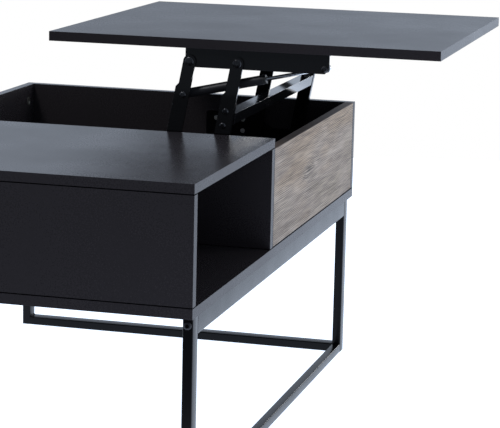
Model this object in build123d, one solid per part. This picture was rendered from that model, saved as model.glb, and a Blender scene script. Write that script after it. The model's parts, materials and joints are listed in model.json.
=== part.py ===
"""Lift top coffee table: a laminated box on a steel tube frame, with a half top that swings up and forward.

In millimetres. X runs along the length (+X is the end under the lift top), -Y is the user's side, Z is up.
The shapes are drawn about the middle of the box, and written with the origin on the floor, at the middle of
the front floor rail's underside. The lift top is modelled raised.
"""

from build123d import *
from math import atan2, cos, degrees, hypot, radians, sin
import os

# ---- Driving dimensions ---------------------------------------------------------------------------
LENGTH, DEPTH = 1000.0, 625.0            # outline of the box
BOX_BOTTOM, BOX_HEIGHT = 282.0, 189.0    # floor to the box, and the box itself
BOARD, BOTTOM_BOARD = 15.0, 16.0         # thickness of the boards
FIXED_TOP_LENGTH = 430.0                 # the fixed part of the top, at the -X end
LIFT_GAP, EDGE_BAND = 1.0, 1.0

TUBE, TUBE_BROAD, RAIL_TALL, TUBE_WALL = 15.0, 25.0, 30.0, 1.5
INSET_END, INSET_SIDE = 18.0, 4.5        # of the frame, under the box
LEG_BOLT_DROP, END_PLATE = 13.0, 3.0     # bolts' place below the box, plates in the rails' ends
RAIL_SCREW_PITCH, RAIL_SCREW_SHIFT = 340.0, 17.0
BOTTOM_SCREW_Y, DOWEL_Y = 100.0, 180.0

ARM_LENGTH, ARM_HALF, ARM_PLATE = 224.0, 10.0, 3.0
ARM_WIDENING, ARM_NECK = 4.0, 182.0      # the arm is wider on its rear side up to the neck
OPEN_ANGLE, CLOSED_ANGLE = 79.4, 161.0   # of the arms, up from the horizontal on the user's side
REAR_PIVOT_Y, FRONT_PIVOT_Y, PIVOT_Z = -129.0, -206.0, 362.0
PIVOT_R, PIVOT_HEAD_R, RUNNING_FIT = 4.0, 7.0, 0.05
BRACKET_PLATE, WEB_PLATE, SPACER = 3.0, 2.5, 3.0
PLATE_GAP, HEAD_GAP = 0.5, 0.3           # between plates, and under rivet heads
WEB_DEPTH, WEB_FLANGE, WEB_REAR_Y, WEB_FRONT_Y = 30.3, 24.5, -162.7, -392.3
WEB_CORNER, WEB_SCREW_INSET, WEB_SCREWS = 7.0, 18.0, 4
SPACER_R, STOP_R, STOP_ALONG = 9.0, 4.0, 25.0
BRACKET_FOOT, BRACKET_CORNER = 22.0, 6.0
ARM_FLANGE, ARM_FLANGE_SPAN, ARM_SHEET = 6.5, (15.0, 163.0), 2.5

CROSS_SCREWS, CROSS_SCREW_AHEAD = (124.0, 147.0), -3.0   # places along and ahead of the front arm
CROSS_RIDGE, CROSS_WEB, CROSS_LEDGE, CROSS_SHEET = 145.0, 18.0, 17.0, 2.0
CROSS_TAB, CROSS_TAB_SPAN, CROSS_TAB_EDGE = 14.5, (112.0, 158.0), 7.2
NUT_R, NUT_HIGH = 5.8, 4.5

STRUT_ARM_DISTANCE = 170.0               # base pivot to the strut's lower pin, along the rear arm
STRUT_FORWARD, STRUT_DROP = 214.6, 1.8   # rear top pivot to the strut's upper pin
STRUT_R, STRUT_BORE_R, ROD_R, EYE_R, EYE_HALF = 7.5, 6.5, 3.0, 6.5, 4.0
STRUT_END, STRUT_FLOOR, STRUT_ROD = 128.0, 14.0, 144.0   # tube's end, its solid foot, the rod's length
STRUT_OFFSET, CAP_LENGTH, CAP_PLUG, PISTON = 12.0, 5.0, 8.0, 7.0

CAM_R, CAM_DEPTH, CAM_SETBACK, CAM_LEVEL = 7.5, 12.0, 25.5, 29.5
CAM_BOLT_R, CAM_BOLT_DEPTH = 3.0, 11.0
DOWEL_R, DOWEL_DOWN, DOWEL_UP = 4.0, 12.0, 18.0
TOP_CAM_Y = 245.0

# Fasteners: shank radius, shank length, head radius, head height
BOTTOM_SCREW = (2.5, 46.0, 4.5, 4.0)
WALL_SCREW = (2.0, 14.0, 4.2, BRACKET_PLATE)
LEG_BOLT = (3.0, TUBE_BROAD + 8.0, 6.0, 3.0)
CROSS_SCREW = (3.0, ARM_PLATE + CROSS_SHEET + 5.5, 5.0, 2.4)
BRACKET_SCREW = (2.0, WEB_PLATE + 10.0, 4.2, 2.0)
RAIL_SCREW_R, RAIL_SCREW_BITE, RAIL_SCREW_HEAD = 2.2, 12.0, (4.5, 2.5)

# ---- Derived places -------------------------------------------------------------------------------
X_NEAR, X_FAR = -LENGTH / 2, LENGTH / 2
Y_FRONT, Y_BACK = -DEPTH / 2, DEPTH / 2
PANEL_LOW, PANEL_HIGH = BOX_BOTTOM + BOTTOM_BOARD, BOX_BOTTOM + BOX_HEIGHT - BOARD
WALL_HIGH = PANEL_HIGH - LIFT_GAP
X_END_WALL, X_FAR_WALL = X_NEAR + BOARD, X_FAR - BOARD
X_DIVIDER = X_NEAR + FIXED_TOP_LENGTH    # face of the divider towards the lift compartment
X_CUBBY = X_DIVIDER - BOARD
X_MIRROR = (X_DIVIDER + X_FAR_WALL) / 2
WALL_MIDDLES = (X_NEAR + BOARD / 2, X_CUBBY + BOARD / 2, X_FAR_WALL + BOARD / 2)

X_PLATE = X_DIVIDER + BRACKET_PLATE      # base bracket's inner face
X_ARM = X_PLATE + SPACER + PLATE_GAP
X_ARM_IN = X_ARM + ARM_PLATE
X_WEB = X_ARM_IN + PLATE_GAP
X_WEB_IN = X_WEB + WEB_PLATE
X_STRUT = X_WEB_IN + STRUT_OFFSET


def reach(angle, distance, ahead=0.0):
    """Returns the (y, z) step along a line at an angle, and ahead of it on the user's side."""
    c, s = cos(radians(angle)), sin(radians(angle))
    return -c * distance - s * ahead, s * distance - c * ahead


def step(start, move):
    """Returns a (y, z) point moved by a (y, z) step."""
    return start[0] + move[0], start[1] + move[1]


REAR_BASE, FRONT_BASE = (REAR_PIVOT_Y, PIVOT_Z), (FRONT_PIVOT_Y, PIVOT_Z)
REAR_TOP = step(REAR_BASE, reach(OPEN_ANGLE, ARM_LENGTH))
FRONT_TOP = step(FRONT_BASE, reach(OPEN_ANGLE, ARM_LENGTH))
REAR_TOP_CLOSED = step(REAR_BASE, reach(CLOSED_ANGLE, ARM_LENGTH))
TRAVEL = (REAR_TOP[0] - REAR_TOP_CLOSED[0], REAR_TOP[1] - REAR_TOP_CLOSED[1])
LIFT_UNDER = PANEL_HIGH + TRAVEL[1]

STRUT_LOW = step(REAR_BASE, reach(OPEN_ANGLE, STRUT_ARM_DISTANCE))
STRUT_HIGH = step(REAR_TOP, (-STRUT_FORWARD, -STRUT_DROP))


def strut_line(low, high):
    """Returns the length and the angle of the strut between its two pins."""
    ahead, up = low[0] - high[0], high[1] - low[1]
    return hypot(ahead, up), degrees(atan2(up, ahead))


STRUT_LENGTH, STRUT_ANGLE = strut_line(STRUT_LOW, STRUT_HIGH)


# ---- Shared shapes --------------------------------------------------------------------------------
def block(x, y, z):
    """Returns a box from three (low, high) pairs."""
    size = [max(pair) - min(pair) for pair in (x, y, z)]
    centre = [sum(pair) / 2 for pair in (x, y, z)]
    return Pos(*centre) * Box(*size)


def bar(start, axis, radius, length):
    """Returns a round bar from a start point along an axis."""
    return extrude(Plane(origin=start, z_dir=axis) * Circle(radius), amount=length)


def ring(start, axis, outer, inner, length):
    """Returns a washer or bush from a start point along an axis."""
    return bar(start, axis, outer, length) - bar(start, axis, inner, length)


def cone(start, axis, radius, end_radius, length):
    """Returns a countersunk head, widest at its start point."""
    plane = Plane(origin=start, z_dir=axis)
    return loft([plane * Circle(radius), plane.offset(length) * Circle(end_radius)])


def pan_screw(place, axis, size):
    """Returns a fastener with its head outside a place and its shank along an axis."""
    shank_r, length, head_r, head = size
    outward = tuple(-a for a in axis)
    return bar(place, axis, shank_r, length) + bar(place, outward, head_r, head)


def flat_screw(place, axis, size):
    """Returns a countersunk fastener, its head flush at a place."""
    shank_r, length, head_r, head = size
    return bar(place, axis, shank_r, length) + cone(place, axis, head_r, shank_r, head)


def side_plane(x, origin=(0.0, 0.0), angle=180.0):
    """Returns the plane across X at (y, z), with its own x along an arm and its y towards the user."""
    along = reach(angle, 1.0)
    return Plane(origin=(x, *origin), x_dir=(0, *along), z_dir=(1, 0, 0))


def side_plate(x, points, thickness, radius=0.0):
    """Returns a plate across X from its (y, z) outline, with rounded corners."""
    outline = Polyline([(y, z) for y, z in points], close=True)
    face = make_face(outline)
    if radius:
        face = fillet(face.vertices(), radius)
    return extrude(Plane(origin=(x, 0, 0), x_dir=(0, 1, 0), z_dir=(1, 0, 0)) * face, amount=thickness)


def mirrored(solid):
    """Returns the same piece for the mechanism on the far wall."""
    return mirror(solid, about=Plane(origin=(X_MIRROR, 0, 0), z_dir=(1, 0, 0)))


def group(solids):
    """Returns identical pieces as one group of separate solids."""
    return Compound([solid for shape in solids for solid in shape.solids()])


def both(solids):
    """Returns the pieces of the two mechanisms as one group."""
    return group([*solids, *(mirrored(solid) for solid in solids)])


# ---- Fittings that hold the boards ----------------------------------------------------------------
def cam_joint(centre, inward, edge, bolt_axis):
    """Returns a cam lock sunk into a board's face, and the bolt it pulls, from the next board's edge."""
    cam = bar(centre, inward, CAM_R, CAM_DEPTH)
    start = [e - a * CAM_BOLT_DEPTH for e, a in zip(edge, bolt_axis)]
    bolt = bar(start, bolt_axis, CAM_BOLT_R, CAM_BOLT_DEPTH + CAM_SETBACK - CAM_R + 2.0)
    return cam, bolt - cam


def wall_cams(x_low, x_high, y_face, into, levels):
    """Returns the cam joints of a back or front panel with the two walls it stands between."""
    joints = []
    for x_edge, away in ((x_low, 1), (x_high, -1)):
        for z in levels:
            centre = (x_edge + away * CAM_SETBACK, y_face, z)
            edge = (x_edge, y_face + into * BOARD / 2, z)
            joints.append(cam_joint(centre, (0, into, 0), edge, (away, 0, 0)))
    return joints


def cam_joints():
    """Returns every cam joint of the box."""
    low, high = PANEL_LOW + CAM_LEVEL, WALL_HIGH - CAM_LEVEL
    inner = Y_BACK - BOARD
    joints = wall_cams(X_DIVIDER, X_FAR_WALL, inner, 1, (low, high))
    joints += wall_cams(X_DIVIDER, X_FAR_WALL, -inner, -1, (low, high))
    joints += wall_cams(X_END_WALL, X_CUBBY, inner, 1, (low + CAM_LEVEL, high - CAM_LEVEL))
    for x_face in (X_END_WALL, X_DIVIDER):
        for y in (-TOP_CAM_Y, TOP_CAM_Y):
            centre = (x_face, y, PANEL_HIGH - CAM_SETBACK)
            joints.append(cam_joint(centre, (-1, 0, 0), (x_face - BOARD / 2, y, PANEL_HIGH), (0, 0, -1)))
    return joints


def wood_dowels():
    """Returns the dowels that place the three cross walls on the bottom panel."""
    return [bar((x, y, PANEL_LOW - DOWEL_DOWN), (0, 0, 1), DOWEL_R, DOWEL_DOWN + DOWEL_UP)
            for x in WALL_MIDDLES for y in (-DOWEL_Y, DOWEL_Y)]


def bottom_screws():
    """Returns the countersunk screws that hold the bottom panel to the cross walls."""
    return [flat_screw((x, y, BOX_BOTTOM), (0, 0, 1), BOTTOM_SCREW)
            for x in WALL_MIDDLES for y in (-BOTTOM_SCREW_Y, BOTTOM_SCREW_Y)]


def rail_screws():
    """Returns the pan-head screws that hold the frame's top rails to the bottom panel."""
    rail_y = Y_BACK - INSET_SIDE - TUBE / 2
    along = [RAIL_SCREW_SHIFT + RAIL_SCREW_PITCH * i for i in (-1, 0, 1)]
    size = (RAIL_SCREW_R, RAIL_TALL + RAIL_SCREW_BITE, *RAIL_SCREW_HEAD)
    places = [(x, y, BOX_BOTTOM - RAIL_TALL) for x in along for y in (-rail_y, rail_y)]
    return [pan_screw(place, (0, 0, 1), size) for place in places]


def wall_screws():
    """Returns the countersunk screws of the base bracket on the divider."""
    places = ((-59, 413), (-109, 413), (-109, 392), (-240, 384), (-240, 318), (-150, 318), (-59, 318))
    return [flat_screw((X_PLATE, y, z), (-1, 0, 0), WALL_SCREW) for y, z in places]


# ---- Boards ---------------------------------------------------------------------------------------
def boards(fittings):
    """Returns the boards of the box, bored for their fittings."""
    depth, walls = (Y_FRONT, Y_BACK), (PANEL_LOW, PANEL_HIGH)
    back, front = (Y_BACK - BOARD, Y_BACK), (Y_FRONT, Y_FRONT + BOARD)
    compartment = (X_DIVIDER, X_FAR_WALL)
    raw = {
        "bottom_panel": block((X_NEAR, X_FAR), depth, (BOX_BOTTOM, PANEL_LOW)),
        "fixed_top_panel": block((X_NEAR, X_DIVIDER), depth, (PANEL_HIGH, PANEL_HIGH + BOARD)),
        "near_end_panel": block((X_NEAR, X_END_WALL), depth, walls),
        "divider_panel": block((X_CUBBY, X_DIVIDER), depth, walls),
        "far_end_panel": block((X_FAR_WALL, X_FAR), depth, (PANEL_LOW, WALL_HIGH)),
        "cubby_back_panel": block((X_END_WALL, X_CUBBY), back, walls),
        "compartment_back_panel": block(compartment, back, (PANEL_LOW, WALL_HIGH)),
        "decor_front_panel": block(compartment, front, (PANEL_LOW, WALL_HIGH - EDGE_BAND)),
    }
    bored = {name: board - fittings for name, board in raw.items()}
    bored["decor_front_edge_band"] = block(compartment, front, (WALL_HIGH - EDGE_BAND, WALL_HIGH))
    return bored


def lift_top_panel(screws):
    """Returns the half top that lifts, in its raised place."""
    y = (Y_FRONT + TRAVEL[0], Y_BACK + TRAVEL[0])
    return block((X_DIVIDER + LIFT_GAP, X_FAR), y, (LIFT_UNDER, LIFT_UNDER + BOARD)) - screws


# ---- Frame ----------------------------------------------------------------------------------------
LOOP_Y, LOOP_Z = Y_BACK - INSET_SIDE, BOX_BOTTOM
RAIL_Y = (-LOOP_Y, -LOOP_Y + TUBE)
X_LOOP_IN = X_FAR - INSET_END - TUBE_BROAD


def hollow(x, y, z):
    """Returns the bore of a tube from its outside, run through in its longest direction."""
    spans = [x, y, z]
    longest = max(range(3), key=lambda i: spans[i][1] - spans[i][0])
    return block(*[s if i == longest else (s[0] + TUBE_WALL, s[1] - TUBE_WALL) for i, s in enumerate(spans)])


def loop_tubes(x):
    """Returns the three mitred tubes of one end loop, open at the top: front leg, back leg and floor rail."""
    y, z, t = LOOP_Y, LOOP_Z, TUBE
    outlines = {
        "front_leg": [(-y, 0), (-y, z), (-y + t, z), (-y + t, t)],
        "back_leg": [(y, 0), (y, z), (y - t, z), (y - t, t)],
        "floor_rail": [(-y, 0), (-y + t, t), (y - t, t), (y, 0)],
    }
    bores = {
        "front_leg": hollow(x, (-y, -y + t), (0, z - TUBE_WALL)),
        "back_leg": hollow(x, (y - t, y), (0, z - TUBE_WALL)),
        "floor_rail": hollow(x, (-y, y), (0, t)),
    }
    return {name: side_plate(x[0], outlines[name], TUBE_BROAD) - bores[name] for name in outlines}


def long_rail(y, z):
    """Returns a tube along the length between the two end loops."""
    x = (-X_LOOP_IN, X_LOOP_IN)
    return block(x, y, z) - hollow(x, y, z)


def long_rails():
    """Returns the three rails along the length, as (name, y span, z span)."""
    back = (-RAIL_Y[1], -RAIL_Y[0])
    return (("front_top_rail", RAIL_Y, (LOOP_Z - RAIL_TALL, LOOP_Z)),
            ("back_top_rail", back, (LOOP_Z - RAIL_TALL, LOOP_Z)),
            ("front_floor_rail", RAIL_Y, (0.0, TUBE)))


def bolt_level(z):
    """Returns the height of the bolt in a rail's end."""
    return TUBE / 2 if z[0] == 0.0 else LOOP_Z - LEG_BOLT_DROP


def leg_bolts():
    """Returns the button-head bolts that hold the long rails between the end loops."""
    bolts = []
    for _, y, z in long_rails():
        for side in (-1, 1):
            face = (side * (X_LOOP_IN + TUBE_BROAD), sum(y) / 2, bolt_level(z))
            bolts.append(pan_screw(face, (-side, 0, 0), LEG_BOLT))
    return bolts


def rail_end_plates(bolts):
    """Returns the threaded plates welded in the ends of the long rails."""
    plates = []
    for _, y, z in long_rails():
        for side in (-1, 1):
            x = sorted((side * X_LOOP_IN, side * (X_LOOP_IN - END_PLATE)))
            inner = [(s[0] + TUBE_WALL, s[1] - TUBE_WALL) for s in (y, z)]
            plates.append(block(x, *inner) - bolts)
    return plates


def frame(bolts, screws):
    """Returns every tube of the frame, drilled for its bolts and screws."""
    drills = [*bolts, *screws]
    tubes = {}
    for end, side in (("near", -1), ("far", 1)):
        x = sorted((side * X_LOOP_IN, side * (X_LOOP_IN + TUBE_BROAD)))
        for name, tube in loop_tubes(x).items():
            tubes[f"{end}_{name}"] = tube - drills
    for name, y, z in long_rails():
        tubes[name] = long_rail(y, z) - drills
    return tubes


# ---- Lift mechanism, beside the divider -----------------------------------------------------------
def base_bracket(holes):
    """Returns the pressed bracket on the wall, with a foot on the compartment's floor."""
    outline = [(-258, PANEL_LOW), (-40, PANEL_LOW), (-40, 426), (-122, 426), (-165, 400), (-258, 400)]
    plate = side_plate(X_DIVIDER, outline, BRACKET_PLATE, BRACKET_CORNER)
    foot = block((X_PLATE, X_PLATE + BRACKET_FOOT), (-250, -48), (PANEL_LOW, PANEL_LOW + BRACKET_PLATE))
    return plate + foot - holes


def base_rivets():
    """Returns the two fixed rivets that the arms turn on."""
    rivets = []
    for y, z in (REAR_BASE, FRONT_BASE):
        shank = bar((X_DIVIDER, y, z), (1, 0, 0), PIVOT_R, X_ARM_IN + HEAD_GAP - X_DIVIDER)
        rivets.append(shank + bar((X_ARM_IN + HEAD_GAP, y, z), (1, 0, 0), PIVOT_HEAD_R, 2.0))
    return rivets


def base_spacers():
    """Returns the washers between the base bracket and the arms."""
    return [ring((X_PLATE, y, z), (1, 0, 0), SPACER_R, PIVOT_R, SPACER) for y, z in (REAR_BASE, FRONT_BASE)]


def stop_pin():
    """Returns the pin that the front arm leans on when the top is raised."""
    y, z = step(FRONT_BASE, reach(OPEN_ANGLE, STOP_ALONG, ARM_HALF + STOP_R + HEAD_GAP))
    return bar((X_DIVIDER, y, z), (1, 0, 0), STOP_R, X_ARM_IN - X_DIVIDER)


def arm_blank(base, neck):
    """Returns an arm's plate with its two pivot holes, wider on the rear side up to its neck."""
    plane = side_plane(X_ARM, base, OPEN_ANGLE)
    outline = Pos(ARM_LENGTH / 2, 0) * SlotCenterToCenter(ARM_LENGTH, 2 * ARM_HALF)
    edge = -ARM_HALF - ARM_WIDENING
    rise = [(0, -ARM_HALF), (8, edge), (neck - 6, edge), (neck, -ARM_HALF)]
    outline += make_face(Polyline([*rise, (neck, 0), (0, 0)], close=True))
    for end in (0, ARM_LENGTH):
        outline -= Pos(end, 0) * Circle(PIVOT_R + RUNNING_FIT)
    return extrude(plane * outline, amount=ARM_PLATE)


def arm_box(along, ahead, x):
    """Returns a block placed along and ahead of the front arm, between two X places."""
    plane = side_plane(x[0], FRONT_BASE, OPEN_ANGLE)
    face = Pos(sum(along) / 2, sum(ahead) / 2) * Rectangle(along[1] - along[0], ahead[1] - ahead[0])
    return extrude(plane * face, amount=x[1] - x[0])


def rear_arm(pin):
    """Returns the plain arm that carries the gas strut's lower pin."""
    return arm_blank(REAR_BASE, ARM_NECK + 5.0) - pin


def front_arm(screws):
    """Returns the arm with a stiffening flange, which carries the cross bar."""
    flange = arm_box(ARM_FLANGE_SPAN, (ARM_HALF - ARM_SHEET, ARM_HALF), (X_ARM_IN, X_ARM_IN + ARM_FLANGE))
    return arm_blank(FRONT_BASE, ARM_NECK - 6.0) + flange - screws


def cross_bar(screws):
    """Returns the folded bar that joins the two front arms: a web, a ledge and an end tab at each side."""
    sheet, edge, height = CROSS_SHEET, CROSS_TAB_EDGE, (CROSS_RIDGE - CROSS_WEB, CROSS_RIDGE)
    inner = X_ARM_IN + CROSS_TAB
    ends = arm_box(CROSS_TAB_SPAN, (1.0 - ARM_HALF, edge), (X_ARM_IN, X_ARM_IN + sheet))
    ends += arm_box(height, (edge - sheet, edge), (X_ARM_IN, inner))
    ends += arm_box(height, (edge - sheet, ARM_HALF), (inner - sheet, inner))
    span = (inner - sheet, 2 * X_MIRROR - inner + sheet)
    web = arm_box(height, (ARM_HALF - sheet, ARM_HALF), span)
    ledge = arm_box((CROSS_RIDGE - sheet, CROSS_RIDGE), (ARM_HALF - CROSS_LEDGE, ARM_HALF), span)
    return web + ledge + ends + mirrored(ends) - screws


def cross_bar_screws():
    """Returns the pan-head screws through the front arm and the cross bar's tab, with their nuts."""
    screws, nuts = [], []
    for along in CROSS_SCREWS:
        y, z = step(FRONT_BASE, reach(OPEN_ANGLE, along, CROSS_SCREW_AHEAD))
        screw = pan_screw((X_ARM, y, z), (1, 0, 0), CROSS_SCREW)
        seat = Plane(origin=(X_ARM_IN + CROSS_SHEET, y, z), z_dir=(1, 0, 0))
        nuts.append(extrude(seat * RegularPolygon(NUT_R, 6), amount=NUT_HIGH) - screw)
        screws.append(screw)
    return screws, nuts


def upper_bracket(holes):
    """Returns the folded bracket under the lift top: a deep web and a flange for its screws."""
    low, high = LIFT_UNDER - WEB_DEPTH, LIFT_UNDER
    corner = [(WEB_FRONT_Y + WEB_CORNER, low), (WEB_FRONT_Y, low + WEB_CORNER)]
    outline = [(WEB_REAR_Y, low), *corner, (WEB_FRONT_Y, high), (WEB_REAR_Y, high)]
    web = side_plate(X_WEB, outline, WEB_PLATE)
    flange = block((X_WEB_IN, X_WEB_IN + WEB_FLANGE), (WEB_FRONT_Y, WEB_REAR_Y), (high - WEB_PLATE, high))
    return web + flange - holes


def upper_bracket_screws():
    """Returns the pan-head screws from the upper bracket into the lift top."""
    first, last = WEB_REAR_Y - WEB_SCREW_INSET, WEB_FRONT_Y + WEB_SCREW_INSET
    screws = []
    for i in range(WEB_SCREWS):
        y = first + (last - first) * i / (WEB_SCREWS - 1)
        place = (X_WEB_IN + WEB_FLANGE / 2, y, LIFT_UNDER - WEB_PLATE)
        screws.append(pan_screw(place, (0, 0, 1), BRACKET_SCREW))
    return screws


def top_rivets():
    """Returns the rivets, fixed in the upper bracket, that the arms' top ends turn on."""
    rivets = []
    outer = X_ARM - HEAD_GAP
    for y, z in (REAR_TOP, FRONT_TOP):
        shank = bar((outer, y, z), (1, 0, 0), PIVOT_R, X_WEB_IN - outer)
        head = bar((outer, y, z), (-1, 0, 0), PIVOT_HEAD_R, 2.0)
        rivets.append(shank + head + bar((X_WEB_IN, y, z), (1, 0, 0), 5.5, 1.5))
    return rivets


def strut_rivet():
    """Returns the rivet in the upper bracket at the gas strut's upper pin."""
    y, z = STRUT_HIGH
    return bar((X_WEB, y, z), (-1, 0, 0), 5.0, 1.8) + bar((X_WEB, y, z), (1, 0, 0), ROD_R, WEB_PLATE)


# ---- Gas strut ------------------------------------------------------------------------------------
def strut_bar(start, end, radius):
    """Returns a round bar along the strut between two distances from its lower pin."""
    move = reach(STRUT_ANGLE, 1.0)
    y, z = step(STRUT_LOW, (move[0] * start, move[1] * start))
    return bar((X_STRUT, y, z), (0, *move), radius, end - start)


def eye(place, hole):
    """Returns a strut's end eye round a pin."""
    return ring((X_STRUT - EYE_HALF, *place), (1, 0, 0), EYE_R, hole, 2 * EYE_HALF)


def strut_pin(place, start):
    """Returns the pin through a strut's eye, with its retaining head."""
    shank = bar((start, *place), (1, 0, 0), ROD_R, X_STRUT + EYE_HALF + HEAD_GAP - start)
    return shank + bar((X_STRUT + EYE_HALF + HEAD_GAP, *place), (1, 0, 0), 4.5, 1.2)


def strut_lower_pin():
    """Returns the pin fixed in the rear arm."""
    return strut_pin(STRUT_LOW, X_ARM) + bar((X_ARM, *STRUT_LOW), (-1, 0, 0), 5.0, 1.8)


def strut_cylinder():
    """Returns the strut's pressure tube with its end eye."""
    body = strut_bar(EYE_R - 1.5, STRUT_END, STRUT_R) - strut_bar(STRUT_FLOOR, STRUT_END, STRUT_BORE_R)
    return body + eye(STRUT_LOW, 1.0) - bar((X_STRUT - 10, *STRUT_LOW), (1, 0, 0), ROD_R + RUNNING_FIT, 20.0)


def strut_cap():
    """Returns the guide that closes the tube round the rod."""
    low, high = STRUT_END - CAP_PLUG, STRUT_END + CAP_LENGTH
    outside = strut_bar(STRUT_END, high, STRUT_R - 0.4) + strut_bar(low, STRUT_END, STRUT_BORE_R)
    return outside - strut_bar(low - 1.0, high + 1.0, ROD_R + RUNNING_FIT)


def strut_rod():
    """Returns the bright rod with its piston and upper eye."""
    start = STRUT_LENGTH - STRUT_ROD
    rod = strut_bar(start, STRUT_LENGTH - 1.0, ROD_R)
    rod += strut_bar(start, start + PISTON, STRUT_BORE_R - RUNNING_FIT)
    collar = strut_bar(STRUT_LENGTH - 12.0, STRUT_LENGTH - EYE_R + 2.0, 4.5)
    return rod + collar + eye(STRUT_HIGH, 1.0) - bar((X_STRUT - 10, *STRUT_HIGH), (1, 0, 0), ROD_R, 20.0)


# ---- The whole table ------------------------------------------------------------------------------
def mechanism(walls):
    """Returns the lift mechanisms' nodes. Paired pieces are nodes of their own, small fixings are groups."""
    cross_screws, nuts = cross_bar_screws()
    near_far = [solid for screw in cross_screws for solid in (screw, mirrored(screw))]
    lower_pin, rivets, upper_screws = strut_lower_pin(), top_rivets(), upper_bracket_screws()
    stop = stop_pin()
    paired = {
        "base_bracket": base_bracket([*base_rivets(), *walls, stop]),
        "rear_arm": rear_arm(lower_pin),
        "front_arm": front_arm(cross_screws),
        "upper_bracket": upper_bracket([*rivets, *upper_screws, strut_rivet()]),
        "strut_cylinder": strut_cylinder(),
        "strut_cap": strut_cap(),
        "strut_rod": strut_rod(),
        "strut_upper_pin": strut_pin(STRUT_HIGH, X_WEB_IN + HEAD_GAP),
    }
    nodes = {}
    for name, solid in paired.items():
        nodes[f"near_{name}"] = solid
        nodes[f"far_{name}"] = mirrored(solid)
    nodes["cross_bar"] = cross_bar(near_far)
    groups = {
        "wall_screws": walls,
        "base_rivets": base_rivets(),
        "base_spacers": base_spacers(),
        "stop_pins": [stop],
        "cross_bar_screws": cross_screws,
        "cross_bar_nuts": nuts,
        "top_rivets": rivets,
        "strut_rivets": [strut_rivet()],
        "strut_lower_pins": [lower_pin],
        "upper_bracket_screws": upper_screws,
    }
    nodes.update({name: both(solids) for name, solids in groups.items()})
    screws = nodes["upper_bracket_screws"].solids()
    nodes["lift_top_panel"] = lift_top_panel(screws)
    return nodes


def table():
    """Returns every node of the table by name."""
    joints = cam_joints()
    cams, cam_bolts = [cam for cam, _ in joints], [bolt for _, bolt in joints]
    dowels, floor_screws, top_rail_screws, bolts = wood_dowels(), bottom_screws(), rail_screws(), leg_bolts()
    walls = wall_screws()
    fittings = [*cams, *cam_bolts, *dowels, *floor_screws, *top_rail_screws]
    fittings += [*walls, *(mirrored(screw) for screw in walls)]
    nodes = boards(fittings)
    nodes.update(frame(bolts, top_rail_screws))
    nodes.update({
        "cam_locks": group(cams),
        "cam_bolts": group(cam_bolts),
        "wood_dowels": group(dowels),
        "bottom_panel_screws": group(floor_screws),
        "rail_screws": group(top_rail_screws),
        "leg_bolts": group(bolts),
        "rail_end_plates": group(rail_end_plates(bolts)),
    })
    nodes.update(mechanism(walls))
    return nodes


def report_motion():
    """Prints the figures that the joints are set from."""
    low = step(REAR_BASE, reach(CLOSED_ANGLE, STRUT_ARM_DISTANCE))
    length, angle = strut_line(low, step(REAR_TOP_CLOSED, (-STRUT_FORWARD, -STRUT_DROP)))
    print("pivots", REAR_BASE, FRONT_BASE, REAR_TOP, FRONT_TOP, "travel", TRAVEL)
    print("strut low, high", STRUT_LOW, STRUT_HIGH, "raised", STRUT_LENGTH, STRUT_ANGLE)
    print("strut closed", length, angle, "wall planes", X_DIVIDER, X_FAR_WALL, "strut plane", X_STRUT)


def main():
    """Writes one STEP file per node."""
    os.makedirs("parts", exist_ok=True)
    origin = Pos(0, -sum(RAIL_Y) / 2, 0)
    nodes = table()
    for name, shape in nodes.items():
        export_step(origin * shape, f"parts/{name}.step")
    print(len(nodes), "nodes")
    report_motion()


main()
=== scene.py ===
"""Lift top coffee table: the finishes, the drawn steel tubes, the fittings and a plain studio.

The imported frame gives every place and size. Lengths in the classes below are in millimetres, as a maker
would give them, and become metres where they meet the frame.
"""

import json
import logging
import math
from collections.abc import Iterable, Sequence
from dataclasses import dataclass, replace
from enum import Enum

import bmesh
import bpy
from mathutils import Matrix, Vector

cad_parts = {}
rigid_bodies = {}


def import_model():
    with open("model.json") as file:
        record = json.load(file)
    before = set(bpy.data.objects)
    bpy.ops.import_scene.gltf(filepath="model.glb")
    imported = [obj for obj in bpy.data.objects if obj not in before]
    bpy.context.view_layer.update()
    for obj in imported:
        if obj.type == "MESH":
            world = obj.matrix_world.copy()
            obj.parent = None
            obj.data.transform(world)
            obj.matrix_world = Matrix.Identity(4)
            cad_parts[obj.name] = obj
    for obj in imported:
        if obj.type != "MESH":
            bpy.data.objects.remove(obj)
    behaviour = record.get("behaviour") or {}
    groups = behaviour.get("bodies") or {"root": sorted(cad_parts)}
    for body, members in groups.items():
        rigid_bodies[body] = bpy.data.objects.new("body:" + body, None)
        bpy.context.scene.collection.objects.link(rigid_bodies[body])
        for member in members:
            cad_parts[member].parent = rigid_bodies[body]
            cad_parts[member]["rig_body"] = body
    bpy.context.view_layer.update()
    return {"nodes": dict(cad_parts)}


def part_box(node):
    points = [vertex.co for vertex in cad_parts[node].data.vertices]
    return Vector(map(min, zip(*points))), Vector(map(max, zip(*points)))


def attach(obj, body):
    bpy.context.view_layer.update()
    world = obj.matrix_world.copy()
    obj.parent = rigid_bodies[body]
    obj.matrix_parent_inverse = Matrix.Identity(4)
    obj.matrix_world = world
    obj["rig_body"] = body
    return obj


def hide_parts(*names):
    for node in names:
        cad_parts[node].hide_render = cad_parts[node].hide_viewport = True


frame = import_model()

MM = 0.001
SAME_POINT = 1e-6
GOLDEN_ANGLE = math.radians(137.5)
FLAT_ANGLE = math.radians(0.5)
SHARP_ANGLE = math.radians(40.0)
CURVE_STEPS = 6
LOG = logging.getLogger("lift_top_table")

Mesh = bpy.types.Mesh
Node = bpy.types.Node
Socket = bpy.types.NodeSocket
Tree = bpy.types.NodeTree
Value = Socket | Node | float


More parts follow.
